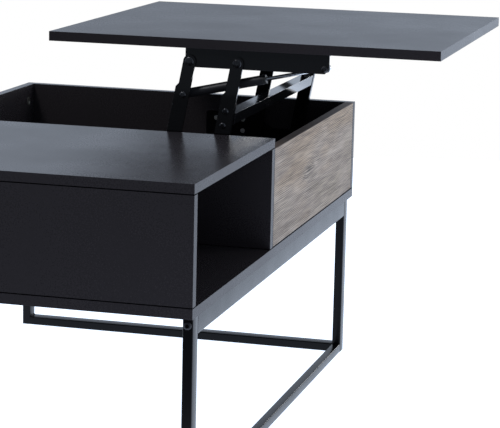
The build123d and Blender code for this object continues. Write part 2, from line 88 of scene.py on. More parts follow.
# ---- Finishes ----
def linear(hex_colour: str) -> tuple[float, float, float, float]:
    """Turns an sRGB hex colour into the linear colour that shaders take.

    Args:
        hex_colour: The colour as "#rrggbb".

    Returns:
        Linear red, green and blue, and an alpha of 1.
    """
    parts = [int(hex_colour[i : i + 2], 16) / 255 for i in (1, 3, 5)]
    red, green, blue = (c / 12.92 if c <= 0.04045 else ((c + 0.055) / 1.055) ** 2.4 for c in parts)
    return red, green, blue, 1.0


def add(tree: Tree, kind: str, inputs: dict | None = None, **settings: object) -> Node:
    """Adds one node with its settings, values and links.

    Args:
        tree: The node tree to add to.
        kind: The node's type, such as "ShaderNodeMath".
        inputs: Values for its inputs, by name or number. A socket is linked, and so is a node's first output.
        **settings: The node's own settings, such as operation="ADD".

    Returns:
        The new node.
    """
    node = tree.nodes.new(kind)
    for key, value in settings.items():
        setattr(node, key, value)
    for key, value in (inputs or {}).items():
        value = value.outputs[0] if isinstance(value, Node) else value
        if isinstance(value, Socket):
            tree.links.new(value, node.inputs[key])
        else:
            node.inputs[key].default_value = value
    return node


@dataclass(frozen=True)
class Finish:
    """A surface finish. Its subclasses add what the way of making it leaves on the surface.

    Attributes:
        name: The material's name.
        colour: Its main colour in sRGB hex.
        roughness: How far it scatters what it reflects.
        metallic: 1 for bare metal.
        ior: Refractive index of a coat or plastic. None keeps the default, as for metal.
        coat: Weight of a clear gloss layer.
    """

    name: str
    colour: str
    roughness: float
    metallic: float = 0.0
    ior: float | None = None
    coat: float = 0.0

    def material(self) -> bpy.types.Material:
        """Makes the material the first time, and returns the same one after that."""
        found = bpy.data.materials.get(self.name)
        if found:
            return found
        made = bpy.data.materials.new(self.name)
        made.use_nodes = True
        tree = made.node_tree
        tree.nodes.clear()
        shader = add(tree, "ShaderNodeBsdfPrincipled", {
            "Base Color": linear(self.colour),
            "Roughness": self.roughness,
            "Metallic": self.metallic,
            "Coat Weight": self.coat,
            "Coat Roughness": 0.04,
        })
        if self.ior is not None:
            shader.inputs["IOR"].default_value = self.ior
        place = add(tree, "ShaderNodeTexCoord").outputs["Object"]
        self.dress(tree, shader, place)
        add(tree, "ShaderNodeOutputMaterial", {"Surface": shader.outputs[0]})
        made.diffuse_color = linear(self.colour)
        return made

    def dress(self, tree: Tree, shader: Node, place: Socket) -> None:
        """Leaves the surface plain. Subclasses add colour, gloss and relief.

        Args:
            tree: The material's node tree.
            shader: Its main shader.
            place: The point on the surface, in metres.
        """

    def grain(self, tree: Tree, place: Socket, size: Sequence[float], detail: float) -> Socket:
        """Adds a noise whose grains have a real size.

        Args:
            tree: The material's node tree.
            place: The point on the surface, in metres.
            size: A grain's length along X, Y and Z, in millimetres.
            detail: How many finer layers it has.

        Returns:
            The noise, from 0 to 1.
        """
        scaled = add(tree, "ShaderNodeMapping", {"Vector": place, "Scale": [1 / (s * MM) for s in size]})
        noise = add(tree, "ShaderNodeTexNoise", {"Vector": scaled, "Scale": 1.0, "Detail": detail})
        return noise.outputs["Fac"]

    def spread(self, tree: Tree, value: Socket, low: float, high: float) -> Socket:
        """Stretches a 0.3 to 0.7 noise over a range, and returns the result."""
        ranged = add(tree, "ShaderNodeMapRange", {
            "Value": value, "From Min": 0.3, "From Max": 0.7, "To Min": low, "To Max": high,
        })
        return ranged.outputs[0]

    def relief(self, tree: Tree, shader: Node, height: Value, depth: float) -> None:
        """Raises the surface by a 0 to 1 height times a depth in millimetres."""
        bump = add(tree, "ShaderNodeBump", {"Height": height, "Distance": depth * MM, "Strength": 1.0})
        tree.links.new(bump.outputs[0], shader.inputs["Normal"])

    def shade(self, tree: Tree, value: Value, stops: Sequence[tuple[float, str]]) -> Socket:
        """Turns a value into a colour through a list of places and colours, and returns the colour."""
        ramp = add(tree, "ShaderNodeValToRGB", {"Fac": value})
        elements = ramp.color_ramp.elements
        while len(elements) < len(stops):
            elements.new(0.5)
        for element, (at, colour) in zip(elements, stops):
            element.position = at
            element.color = linear(colour)
        return ramp.outputs[0]


@dataclass(frozen=True)
class PressedMelamine(Finish):
    """Melamine paper pressed on particle board with a pearl plate: a satin black with a very fine pebble.

    The pebble is about 0.5 mm. It is drawn at 1.6 mm, because a finer one doesn't show at this distance.

    Attributes:
        pebble: Size of the pebble that is drawn, in millimetres.
        emboss: Height of the pebble, in millimetres.
        sparkle: How much the gloss changes from one bump of the pebble to the next.
        cloud: Size of the slow changes of gloss, in millimetres.
        handling: How much the gloss changes over such a cloud.
        highlight: Colour at the pebble's tops.
        band_y: Front edges before this place along Y, in millimetres, wear the duller band. None has no band.
        band_ior: Refractive index of that band.
        joints: Heights of the joints between two boards, in millimetres. Their grooves get a painted shade.
        groove: How far that painted shade reaches above and below its joint, in millimetres.
    """

    pebble: float = 1.6
    emboss: float = 0.05
    sparkle: float = 0.02
    cloud: float = 180.0
    handling: float = 0.03
    highlight: str = "#332f32"
    band_y: float | None = None
    band_ior: float = 1.1
    joints: tuple[float, ...] = ()
    groove: float = 0.8

    def dress(self, tree: Tree, shader: Node, place: Socket) -> None:
        """Adds the pebble's relief and slow changes of gloss from handling. See Finish.dress."""
        pebble = self.grain(tree, place, [self.pebble] * 3, detail=1.5)
        cloud = self.grain(tree, place, [self.cloud] * 3, detail=2.0)
        gloss = add(tree, "ShaderNodeMath", {
            0: self.spread(tree, cloud, self.roughness - self.handling, self.roughness + self.handling),
            1: self.spread(tree, pebble, -self.sparkle, self.sparkle),
        }, operation="ADD")
        tree.links.new(gloss.outputs[0], shader.inputs["Roughness"])
        tone = self.shade(tree, pebble, [(0.3, self.colour), (0.72, self.highlight)])
        tree.links.new(tone, shader.inputs["Base Color"])
        self.relief(tree, shader, pebble, self.emboss)
        if self.band_y is not None:
            y = add(tree, "ShaderNodeSeparateXYZ", {"Vector": place}).outputs["Y"]
            ahead = add(tree, "ShaderNodeMath", {0: y, 1: self.band_y * MM}, operation="LESS_THAN")
            dulled = add(tree, "ShaderNodeMix", {"Factor": ahead, "A": self.ior, "B": self.band_ior})
            tree.links.new(dulled.outputs[0], shader.inputs["IOR"])
        # Painted shade in the grooves at the joints, darkening colour and reflection.
        if self.joints:
            self.shadow(tree, shader, place, tone)

    def shadow(self, tree: Tree, shader: Node, place: Socket, tone: Socket) -> None:
        """Paints shade on both slopes of each joint's groove, darkening colour and reflection, but not the
        faces at the joint's own height.
        """
        z = add(tree, "ShaderNodeSeparateXYZ", {"Vector": place}).outputs["Z"]
        share: Value = 0.0
        half = self.groove * MM / 2
        away = 1.05 * half
        for joint in self.joints:
            for middle in (joint * MM - away, joint * MM + away):
                near = add(tree, "ShaderNodeMath", {0: z, 1: middle, 2: half}, operation="COMPARE")
                share = add(tree, "ShaderNodeMath", {0: near, 1: share}, operation="MAXIMUM")
        # light is 0 in the painted groove shade and 1 elsewhere.
        light = add(tree, "ShaderNodeMath", {0: 1.0, 1: share}, operation="SUBTRACT").outputs[0]
        mix = add(tree, "ShaderNodeVectorMath", {0: tone, 3: light}, operation="SCALE")
        tree.links.new(mix.outputs[0], shader.inputs["Base Color"])
        tree.links.new(light, shader.inputs["Specular IOR Level"])


@dataclass(frozen=True)
class OakDecor(Finish):
    """Printed and embossed oak paper on particle board: grey-brown, with dark growth lines, quite matt.

    Attributes:
        ring: Distance between two growth lines across the grain. Real ones are about 1.5 mm apart. They are
            drawn wider, because closer ones don't show at this distance.
        knots: Middle (x, z) and half width of each knot, in millimetres in the frame.
        sheet: Lowest and highest x, and lowest z, of the oak paper, in millimetres in the frame.
        paper_y: The oak paper is on the face in front of this place along Y, in millimetres in the frame.
        backing: Colour of the paper on the board's other face and of the banded edges. The dark rim that it
            makes round the oak paper is also painted shade of the gap at the panel's sides and bottom.
        rim_ior: Refractive index there, kept low so that the rim reflects little, as a painted shade.
        sway: How far the lines drift up and down along the board, in radians of their wave.
        fray: How far single fibres push a line, in the same radians.
        knot_stretch: How many times longer than high a knot is.
        knot_reach: How far out a knot bends the lines, in half widths.
        knot_bend: Share of a point's height over the knot that bends the lines. A negative one spreads them.
        emboss: Depth of the pressed grain, in millimetres.
    """

    ring: float = 3.0
    knots: tuple[tuple[float, float, float], ...] = ()
    sheet: tuple[float, float, float] = (0.0, 0.0, 0.0)
    paper_y: float = 0.0
    backing: str = "#1c1b1f"
    rim_ior: float = 1.06
    sway: float = 24.0
    fray: float = 5.0
    knot_stretch: float = 3.6
    knot_reach: float = 1.9
    knot_bend: float = -0.5
    emboss: float = 0.2

    def dress(self, tree: Tree, shader: Node, place: Socket) -> None:
        """Adds the paper's tones, dark growth lines, knots and pressed grain. See Finish.dress."""
        axes = add(tree, "ShaderNodeSeparateXYZ", {"Vector": place})
        drift = self.grain(tree, place, (260.0, 60.0, 60.0), detail=2.0)
        fibres = self.grain(tree, place, (60.0, 1.7, 1.7), detail=1.0)
        figure = self.grain(tree, place, (240.0, 24.0, 24.0), detail=3.0)
        patches = self.grain(tree, place, (110.0, 9.0, 9.0), detail=2.0)
        bent_height, hearts = self.round_knots(tree, axes)
        lines = self.growth_lines(tree, bent_height, drift, fibres)
        grooves = self.broken(tree, lines, patches, 0.15, 1.25)
        burnt = self.broken(tree, hearts, fibres, 1.25, -0.25)
        paper = self.on_paper(tree, axes)

        tone = self.total(tree, [(figure, 0.42), (fibres, 0.58)])
        base = self.shade(tree, tone, [
            (0.36, "#766a60"), (0.46, "#8e8278"), (0.54, "#9c9085"), (0.66, "#b3a79b"),
        ])
        tint = self.shade(tree, drift, [(0.35, "#fbf0e0"), (0.50, "#fffdfa"), (0.65, "#f4f1e8")])
        # A colour mix has its share at input 0, its two colours at 6 and 7, and its result at output 2.
        # Off the paper the backing colour goes in: the board's back, and a dark rim that is also painted
        # shade of the gap round the panel.
        for way, share, first, second in (
            ("MULTIPLY", 1.0, None, tint), ("MIX", grooves, None, linear("#453931")),
            ("MIX", burnt, None, linear("#3a302a")), ("MIX", paper, linear(self.backing), None),
        ):
            colours = {0: share, 6: first or base, 7: second or base}
            base = add(tree, "ShaderNodeMix", colours, data_type="RGBA", blend_type=way).outputs[2]
        tree.links.new(base, shader.inputs["Base Color"])
        # The rim's low refractive index keeps its painted shade from reflecting.
        sheen = add(tree, "ShaderNodeMix", {"Factor": paper, "A": self.rim_ior, "B": self.ior})
        tree.links.new(sheen.outputs[0], shader.inputs["IOR"])
        gloss = self.spread(tree, fibres, self.roughness - 0.05, self.roughness + 0.06)
        tree.links.new(gloss, shader.inputs["Roughness"])
        self.relief(tree, shader, self.total(tree, [(fibres, 0.5), (grooves, -0.6)]), self.emboss)

    def on_paper(self, tree: Tree, axes: Node) -> Value:
        """Returns 1 where the oak paper is, and 0 on the board's back and its banded edges, whose dark rim is
        also painted shade.
        """
        low_x, high_x, low_z = (value * MM for value in self.sheet)
        inside: Value = 1.0
        for axis, test, limit in (
            ("Y", "LESS_THAN", self.paper_y * MM), ("X", "GREATER_THAN", low_x),
            ("X", "LESS_THAN", high_x), ("Z", "GREATER_THAN", low_z),
        ):
            passed = add(tree, "ShaderNodeMath", {0: axes.outputs[axis], 1: limit}, operation=test)
            inside = add(tree, "ShaderNodeMath", {0: passed, 1: inside}, operation="MULTIPLY")
        return inside

    def growth_lines(self, tree: Tree, height: Value, drift: Socket, fibres: Socket) -> Value:
        """Adds narrow dark lines along the board that drift up and down, and returns them from 0 to 1."""
        lift = self.total(tree, [(drift, self.sway), (fibres, self.fray)])
        turns = math.tau / (self.ring * MM)
        phase = add(tree, "ShaderNodeMath", {0: height, 1: turns, 2: lift}, operation="MULTIPLY_ADD")
        wave = add(tree, "ShaderNodeMath", {0: phase}, operation="SINE")
        # Only the tops of the wave are dark: the lower half of it is held at 0.
        return add(tree, "ShaderNodeMath", {0: wave, 1: 0.85, 2: 0.05}, operation="MULTIPLY_ADD",
                   use_clamp=True)

    def round_knots(self, tree: Tree, axes: Node) -> tuple[Value, Value]:
        """Bends the height that the growth lines follow round each knot.

        Args:
            tree: The material's node tree.
            axes: The point's three coordinates.

        Returns:
            The bent height, and the knots' dark hearts from 0 to 1.
        """
        height: Value = axes.outputs["Z"]
        hearts: Value = 0.0
        for x, z, half in self.knots:
            along, up = (
                add(tree, "ShaderNodeMath", {0: axes.outputs[axis], 1: middle * MM}, operation="SUBTRACT")
                for axis, middle in (("X", x), ("Z", z))
            )
            across, over = (
                add(tree, "ShaderNodeMath", {0: offset, 1: 1 / (size * MM)}, operation="MULTIPLY")
                for offset, size in ((along, self.knot_stretch * half), (up, half))
            )
            point = add(tree, "ShaderNodeCombineXYZ", {"X": across, "Y": over})
            far = add(tree, "ShaderNodeVectorMath", {0: point}, operation="LENGTH").outputs["Value"]
            near = add(tree, "ShaderNodeMapRange", {
                "Value": far, "From Min": 0.0, "From Max": self.knot_reach, "To Min": 1.0, "To Max": 0.0,
            }, interpolation_type="SMOOTHSTEP")
            pushed = add(tree, "ShaderNodeMath", {0: near, 1: up}, operation="MULTIPLY")
            bend = {0: pushed, 1: self.knot_bend, 2: height}
            height = add(tree, "ShaderNodeMath", bend, operation="MULTIPLY_ADD")
            hearts = add(tree, "ShaderNodeMath", {0: near, 1: hearts}, operation="MAXIMUM")
        return height, hearts

    def broken(self, tree: Tree, pattern: Value, noise: Socket, low: float, high: float) -> Value:
        """Fades a pattern by a noise stretched from low to high and held between 0 and 1."""
        share = add(tree, "ShaderNodeClamp", {"Value": self.spread(tree, noise, low, high)})
        return add(tree, "ShaderNodeMath", {0: pattern, 1: share}, operation="MULTIPLY")

    def total(self, tree: Tree, shares: Iterable[tuple[Value, float]]) -> Value:
        """Adds up several values, each times its share, and returns the sum."""
        running: Value = 0.0
        for value, share in shares:
            terms = {0: value, 1: share, 2: running}
            running = add(tree, "ShaderNodeMath", terms, operation="MULTIPLY_ADD")
        return running


@dataclass(frozen=True)
class Coating(Finish):
    """Powder, lacquer or enamel over steel, or moulded plastic: an even colour with a skin of its own.

    Attributes:
        skin: Size of one bump of the skin, in millimetres.
        depth: Height of those bumps.
        patch: Size of the slow changes of gloss, in millimetres.
        unevenness: How much the gloss changes over such a patch.
    """

    skin: float = 1.5
    depth: float = 0.02
    patch: float = 70.0
    unevenness: float = 0.03

    def dress(self, tree: Tree, shader: Node, place: Socket) -> None:
        """Adds the skin's relief and its uneven gloss. See Finish.dress."""
        skin = self.grain(tree, place, [self.skin] * 3, detail=2.0)
        patches = self.grain(tree, place, [self.patch] * 3, detail=2.0)
        low, high = self.roughness - self.unevenness, self.roughness + self.unevenness
        gloss = self.spread(tree, patches, low, high)
        tree.links.new(gloss, shader.inputs["Roughness"])
        self.relief(tree, shader, skin, self.depth)


@dataclass(frozen=True)
class BareMetal(Finish):
    """Plated, blackened or ground steel.

    Attributes:
        second: The colour it changes to in patches, from the plating bath or the oil.
        patch: Size of those patches, in millimetres.
        lines: Size of a grinding line along X, Y and Z, in millimetres.
        depth: Depth of those lines.
    """

    second: str = "#8d8b86"
    patch: float = 9.0
    lines: tuple[float, float, float] = (1.2, 1.2, 1.2)
    depth: float = 0.01

    def dress(self, tree: Tree, shader: Node, place: Socket) -> None:
        """Adds patches of tone, and the lines that the last tool left. See Finish.dress."""
        patches = self.grain(tree, place, [self.patch] * 3, detail=3.0)
        tone = self.shade(tree, patches, [(0.35, self.colour), (0.7, self.second)])
        tree.links.new(tone, shader.inputs["Base Color"])
        lines = self.grain(tree, place, self.lines, detail=2.0)
        gloss = self.spread(tree, lines, self.roughness * 0.8, self.roughness * 1.25)
        tree.links.new(gloss, shader.inputs["Roughness"])
        self.relief(tree, shader, lines, self.depth)


# Black melamine paper, pressed satin: near black face on, blue-grey where light meets it at a low angle.
LAMINATE = PressedMelamine("satin_black_melamine", "#2d2a2c", 0.28, ior=1.22)
# Dark ABS banding, trimmed and buffed: a slightly glossier line along a board's edge.
EDGE_BAND = Coating("dark_abs_edge_band", "#5c4f48", 0.62, ior=1.25, skin=3.0, depth=0.01)
# Oven-cured polyester powder: a fine even grain that softens highlights on the tubes.
POWDER = Coating("fine_black_powder_coat", "#0e0e10", 0.24, ior=1.20, skin=1.1, depth=0.015, unevenness=0.03)
# Dipped semi-gloss lacquer on pressed sheet: long soft reflections with a little orange peel.
LACQUER = Coating("dipped_black_lacquer", "#0c0c0d", 0.09, ior=1.5, skin=8.0, depth=0.02, unevenness=0.02)
# Sprayed gloss enamel on drawn tube: a sharp bright line along the cylinder.
ENAMEL = Coating("gloss_black_enamel", "#070708", 0.10, ior=1.5, coat=0.6, skin=6.0, depth=0.01)
# Moulded glass-filled nylon: dull, with the mould's spark texture.
NYLON = Coating("moulded_black_nylon", "#161617", 0.55, ior=1.53, skin=0.8, depth=0.03)
# Zinc die casting: pale, grainy, a little yellow in places.
ZINC_CASTING = BareMetal("zinc_die_casting", "#b9b8b2", 0.38, metallic=1.0, second="#8f8c82", depth=0.03)
# Zinc plate on cold-headed steel: bluish bright with cloudy patches.
ZINC_PLATE = BareMetal("zinc_plated_steel", "#b4b8bc", 0.30, metallic=1.0, second="#8c9198")
# Black oxide, oiled: dark steel that still reflects as metal.
BLACK_OXIDE = BareMetal("oiled_black_oxide", "#56575a", 0.26, metallic=1.0, second="#3b3b3e")
# Hard chrome, centreless ground: fine rings round the rod under a mirror.
HARD_CHROME = BareMetal("hard_chromed_rod", "#d5d8dc", 0.10, metallic=1.0, second="#c4c8cd",
                        lines=(8.0, 0.6, 8.0), depth=0.004)
# Turned beech: pale, with short flecks along the dowel.
BEECH = BareMetal("turned_beech", "#cda678", 0.55, second="#b88d5e", lines=(1.0, 1.0, 9.0), depth=0.05)


# ---- Mesh work ----
class Recess(Enum):
    """The drive cut into a fastener's head."""

    CROSS = "cross"
    HEX = "hex"

    def outline(self, size: float) -> list[tuple[float, float]]:
        """Returns the recess's outline for a head of that radius, as (x, y) points."""
        if self is Recess.HEX:
            turns, corners = 6, [(0.55 * size, 0.0)]
        else:
            reach, wide = 0.62 * size, 0.12 * size
            turns, corners = 4, [(wide, wide), (wide, reach), (-wide, reach)]
        outline = []
        for i in range(turns):
            c, s = math.cos(math.tau * i / turns), math.sin(math.tau * i / turns)
            outline += [(c * x - s * y, s * x + c * y) for x, y in corners]
        return outline


def smooth(mesh: Mesh, angle: float = 35.0) -> Mesh:
    """Shades a mesh smooth, but keeps edges sharper than an angle in degrees, and returns it."""
    mesh.shade_smooth()
    mesh.set_sharp_from_angle(angle=math.radians(angle))
    return mesh


def mesh_from(points: Sequence[Sequence[float]], faces: Sequence[Sequence[int]], name: str) -> Mesh:
    """Makes a closed mesh with its faces turned outwards.

    Args:
        points: The corners, in metres.
        faces: The faces, as numbers of corners.
        name: The mesh's name.

    Returns:
        The mesh.
    """
    mesh = bpy.data.meshes.new(name)
    mesh.from_pydata([tuple(p) for p in points], [], [tuple(f) for f in faces])
    work = bmesh.new()
    work.from_mesh(mesh)
    bmesh.ops.remove_doubles(work, verts=work.verts, dist=SAME_POINT)
    bmesh.ops.recalc_face_normals(work, faces=work.faces)
    work.to_mesh(mesh)
    work.free()
    return mesh


def lathe(profile: Sequence[tuple[float, float]], name: str, turns: int = 40) -> Mesh:
    """Turns a profile round the Z axis.

    Args:
        profile: (radius, height) points in metres. It starts and ends on the axis, or closes on itself.
        name: The mesh's name.
        turns: How many steps make one turn.

    Returns:
        The turned mesh, closed.
    """
    rings: list[list[int]] = []
    points: list[tuple[float, float, float]] = []
    for radius, height in profile:
        count = turns if radius > SAME_POINT else 1
        rings.append(list(range(len(points), len(points) + count)))
        for i in range(count):
            angle = math.tau * i / turns
            points.append((radius * math.cos(angle), radius * math.sin(angle), height))
    pairs = list(zip(rings, rings[1:]))
    if len(rings[0]) > 1:
        pairs.append((rings[-1], rings[0]))
    faces = []
    for low, high in pairs:
        for i in range(turns):
            j = (i + 1) % turns
            corners = [low[i % len(low)], low[j % len(low)], high[j % len(high)], high[i % len(high)]]
            faces.append(list(dict.fromkeys(corners)))
    return mesh_from(points, faces, name)


def loft(rows: Sequence[Sequence[Sequence[float]]], name: str) -> Mesh:
    """Makes a closed mesh through rows that have the same number of points, with a face over each end.

    Args:
        rows: The rows of points, in metres.
        name: The mesh's name.

    Returns:
        The mesh.
    """
    count = len(rows[0])
    last = count * (len(rows) - 1)
    faces = [list(range(count)), list(range(last, last + count))]
    for row in range(0, last, count):
        pairs = [(row + k, row + (k + 1) % count) for k in range(count)]
        faces += [[a, b, b + count, a + count] for a, b in pairs]
    return mesh_from([point for row in rows for point in row], faces, name)


def prism(outline: Sequence[tuple[float, float]], low: float, high: float, taper: float) -> Mesh:
    """Makes an upright prism, with its lower outline scaled by a taper."""
    bottom = [(x * taper, y * taper, low) for x, y in outline]
    return loft([bottom, [(x, y, high) for x, y in outline]], "cutter")


def placed(name: str, data: bpy.types.ID) -> bpy.types.Object:
    """Puts a new object in the scene, and returns it."""
    made = bpy.data.objects.new(name, data)
    bpy.context.scene.collection.objects.link(made)
    return made


def cut(body: Mesh, cutter: Mesh) -> Mesh:
    """Cuts one mesh out of another, and returns the result."""
    blank, tool = placed("blank", body), placed("tool", cutter)
    carve = blank.modifiers.new("carve", "BOOLEAN")
    carve.operation = "DIFFERENCE"
    carve.solver = "EXACT"
    carve.object = tool
    result = bpy.data.meshes.new_from_object(blank.evaluated_get(bpy.context.evaluated_depsgraph_get()))
    for thing in (blank, tool):
        bpy.data.objects.remove(thing)
    return result


def joined(meshes: Iterable[Mesh], name: str) -> Mesh:
    """Joins several meshes into one, takes the single ones away, and returns the one."""
    work = bmesh.new()
    for one in meshes:
        work.from_mesh(one)
        bpy.data.meshes.remove(one)
    mesh = bpy.data.meshes.new(name)
    work.to_mesh(mesh)
    work.free()
    return mesh


def copies(template: Mesh, places: Iterable[Matrix], name: str) -> Mesh:
    """Makes one mesh of several copies of a template.

    Args:
        template: The mesh to repeat.
        places: A matrix for each copy.
        name: The new mesh's name.

    Returns:
        The mesh with every copy.
    """
    made = []
    for place in places:
        made.append(template.copy())
        made[-1].transform(place)
    return joined(made, name)


def extent(points: Iterable[Vector]) -> tuple[Vector, Vector]:
    """Returns the low and the high corner of the box round some points."""
    low, high = (Vector([end(along) for along in zip(*points)]) for end in (min, max))
    return low, high


def solids_of(node: str) -> list[list[Vector]]:
    """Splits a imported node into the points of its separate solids, in order of place."""
    work = bmesh.new()
    work.from_mesh(frame["nodes"][node].data)
    bmesh.ops.remove_doubles(work, verts=work.verts, dist=SAME_POINT)
    left = set(work.verts)
    solids = []
    for start in list(work.verts):
        if start not in left:
            continue
        left.discard(start)
        stack, points = [start], []
        while stack:
            corner = stack.pop()
            points.append(corner.co.copy())
            for edge in corner.link_edges:
                other = edge.other_vert(corner)
                if other in left:
                    left.discard(other)
                    stack.append(other)
        solids.append(points)
    work.free()
    return sorted(solids, key=lambda points: [round(along, 5) for along in extent(points)[0]])


@dataclass(frozen=True)
class Seat:
    """Where one fastener sits and how large it is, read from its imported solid, in metres."""

    face: Vector
    outward: Vector
    length: float
    head_radius: float
    head_height: float
    shank_radius: float

    def matrix(self, number: int) -> Matrix:
        """Returns the matrix from a fastener's own frame, turned as a hand would leave it."""
        turn = self.outward.to_track_quat("Z", "Y").to_matrix().to_4x4()
        return Matrix.Translation(self.face) @ turn @ Matrix.Rotation(number * GOLDEN_ANGLE, 4, "Z")


def seat_of(points: Sequence[Vector], axis: int, outward_sign: int = 0) -> Seat:
    """Measures one fastener.

    Args:
        points: Its packed points.
        axis: The axis that it lies along.
        outward_sign: Which way its head looks, or 0 to look towards its wider end.

    Returns:
        The fastener's seat.
    """
    low, high = extent(points)
    middle = (low + high) / 2
    across = [i for i in range(3) if i != axis]

    def radius(point: Vector) -> float:
        """Returns the point's distance from the fastener's axis."""
        return math.hypot(*(point[i] - middle[i] for i in across))

    ends = {
        sign: [radius(p) for p in points if abs(p[axis] - end) < 20 * SAME_POINT]
        for sign, end in ((-1, low[axis]), (1, high[axis]))
    }
    sign = outward_sign or (1 if max(ends[1]) > max(ends[-1]) else -1)
    face = middle.copy()
    face[axis] = high[axis] if sign > 0 else low[axis]
    outward = Vector((0, 0, 0))
    outward[axis] = sign
    head = max(radius(p) for p in points)
    height = max(abs(p[axis] - face[axis]) for p in points if radius(p) > 0.98 * head)
    return Seat(face, outward, high[axis] - low[axis], head, height, max(ends[-sign]))


def long_axis(points: Sequence[Vector], shortest: bool = False) -> int:
    """Returns the number of the axis that a solid is longest along, or shortest."""
    low, high = extent(points)
    sizes = list(high - low)
    return sizes.index(min(sizes) if shortest else max(sizes))


# ---- Pieces ----
def body_of(node: str) -> str:
    """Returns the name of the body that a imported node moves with."""
    return frame["nodes"][node]["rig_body"]


def show(mesh: Mesh, name: str, finish: Finish, *nodes: str, with_node: str = "") -> None:
    """Puts a new piece in the scene.

    Args:
        mesh: The piece's mesh, in the frame's place.
        name: The piece's name.
        finish: Its finish.
        *nodes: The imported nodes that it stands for.
        with_node: The node that it moves with, if it stands for none.
    """
    piece = placed(name, mesh)
    mesh.materials.clear()
    mesh.materials.append(finish.material())
    source = nodes[0] if nodes else with_node
    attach(piece, body_of(source))
    if nodes:
        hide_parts(*nodes)
    LOG.info("made %s with %d faces", name, len(mesh.polygons))


def dress_node(node: str, finish: Finish, arris: float, bends: int = 2) -> None:
    """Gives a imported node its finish, and breaks its sharp edges with modifiers.

    Args:
        node: The node's name.
        finish: Its finish.
        arris: Width of the broken edge, in millimetres. 0 leaves the edges sharp.
        bends: How many steps round each edge.
    """
    part = frame["nodes"][node]
    for slot in part.material_slots:
        slot.material = finish.material()
    if arris:
        join = part.modifiers.new("join", "WELD")
        join.merge_threshold = SAME_POINT
        flat = part.modifiers.new("flat", "DECIMATE")
        flat.decimate_type = "DISSOLVE"
        flat.angle_limit = FLAT_ANGLE
        edge = part.modifiers.new("arris", "BEVEL")
        edge.width = arris * MM
        edge.segments = bends
        edge.limit_method = "ANGLE"
        edge.angle_limit = SHARP_ANGLE
        edge.use_clamp_overlap = True
        even = part.modifiers.new("even", "WEIGHTED_NORMAL")
        even.keep_sharp = False
    LOG.info("dressed %s in %s", node, finish.name)


@dataclass
class Carcass:
    """The laminated box: its boards, the oak front and the fittings that hold them.

    Attributes:
        arris: Width of the broken edge of a banded board.
        band_arris: The same on the thin edge band.
        rim: Width of the black band that shows round the oak paper, which is also painted shade of the gap
            round the panel.
        knots: The oak front's knots, as shares of its length and height, and their half width.
    """

    arris: float = 0.8
    band_arris: float = 0.25
    rim: float = 1.8
    knots: tuple[tuple[float, float, float], ...] = ((0.41, 0.55, 9.0), (0.53, 0.59, 4.5))
    boards: tuple[str, ...] = (
        "bottom_panel", "fixed_top_panel", "near_end_panel", "divider_panel", "far_end_panel",
        "cubby_back_panel", "compartment_back_panel",
    )

    def build(self) -> None:
        """Dresses the boards and makes the cam locks and the bottom screws."""
        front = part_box("bottom_panel")[0].y / MM
        # The joints at the near end's top and bottom get painted shade in their grooves.
        joints = tuple(corner.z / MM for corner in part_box("near_end_panel"))
        banded = replace(LAMINATE, name="satin_black_melamine_banded", band_y=front + self.arris / 2,
                         joints=joints)
        for board in self.boards:
            dress_node(board, banded, self.arris)
        dress_node("decor_front_panel", self.oak(), self.band_arris)
        dress_node("decor_front_edge_band", EDGE_BAND, self.band_arris)
        dress_node("wood_dowels", BEECH, 0.4)
        dress_node("cam_bolts", ZINC_PLATE, 0.3)
        self.cam_locks()
        CrossHead("bottom_panel_screws", ZINC_PLATE, countersunk=True).build()

    def oak(self) -> OakDecor:
        """Returns the oak finish with its knots placed on the front panel."""
        low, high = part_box("decor_front_panel")
        places = []
        for along, up, half in self.knots:
            point = low + Vector((along, 0.0, up)) * (high - low)
            places.append((point.x / MM, point.z / MM, half))
        # The sheet stops short of the edges by the rim, which is partly painted shade of the gap round the
        # panel.
        sheet = (low.x / MM + self.rim, high.x / MM - self.rim, low.z / MM + self.rim)
        return OakDecor("embossed_grey_oak_decor", "#9d9791", 0.6, ior=1.22, knots=tuple(places), sheet=sheet,
                        paper_y=low.y / MM + self.arris)

    def cam_locks(self) -> None:
        """Makes the cam locks: a sunk dish with a rim, a cross drive and an arrow where it locks."""
        # The cam locks past this place along Y, in metres, sit in the back boards and face forward.
        back_half = 0.3
        seats = []
        for points in solids_of("cam_locks"):
            axis = long_axis(points, shortest=True)
            seats.append(seat_of(points, axis, -1 if axis and points[0].y > back_half else 1))
        length, radius = seats[0].length, seats[0].head_radius
        dish, rim, lip, slope = 0.7 * MM, 1.3 * MM, 0.25 * MM, 0.3 * MM
        blank = lathe([
            (0, -length), (radius - rim / 3, -length), (radius, rim / 3 - length), (radius, -lip),
            (radius - lip, 0), (radius - rim, 0), (radius - rim - slope, -dish), (0, -dish),
        ], "cam_lock_blank", 48)
        blank = cut(blank, prism(Recess.CROSS.outline(0.78 * radius), -4.5 * MM, MM, 0.7))
        arrow = [(0.86 * radius, 0.0), (0.6 * radius, 0.16 * radius), (0.6 * radius, -0.16 * radius)]
        blank = cut(blank, prism(arrow, -1.2 * MM, MM, 1.0))
        mesh = copies(blank, [seat.matrix(i) for i, seat in enumerate(seats)], "cam_lock_fittings")
        show(smooth(mesh), "cam_lock_fittings", ZINC_CASTING, "cam_locks")


